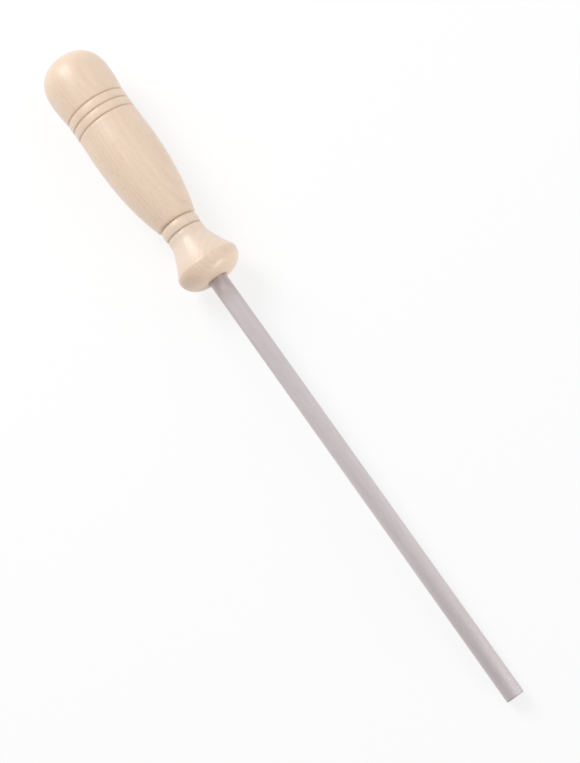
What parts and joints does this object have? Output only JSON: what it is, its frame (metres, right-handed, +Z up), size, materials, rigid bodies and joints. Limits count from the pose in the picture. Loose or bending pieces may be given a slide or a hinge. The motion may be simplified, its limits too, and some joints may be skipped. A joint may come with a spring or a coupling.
{
  "type": "knife sharpening steel",
  "caption": "Butcher's honing steel: a round steel rod with a hidden tang, in a turned wooden handle with a flared guard, lying on its guard and tip.",
  "frame": {"origin": "on the table under the middle of the lying steel: the centre of the bounding box's base", "axes": "+X runs along the table from the butt towards the rod's tip, +Y across it, +Z up; the steel's own axis is in the XZ plane and slopes down towards the tip by 2.68 degrees"},
  "size_m": [0.3958, 0.0356, 0.0404],
  "materials": {
    "lacquered_beech": "pale beech, turned and sanded, under a thin clear lacquer",
    "ribbed_steel": "matt grey, fine lengthwise ribs",
    "cured_epoxy": "brown filled resin, cured"
  },
  "bodies": {
    "root": {"handle": "lacquered_beech", "sharpening_rod": "ribbed_steel", "tang_bed": "cured_epoxy"}
  },
  "joints": []
}
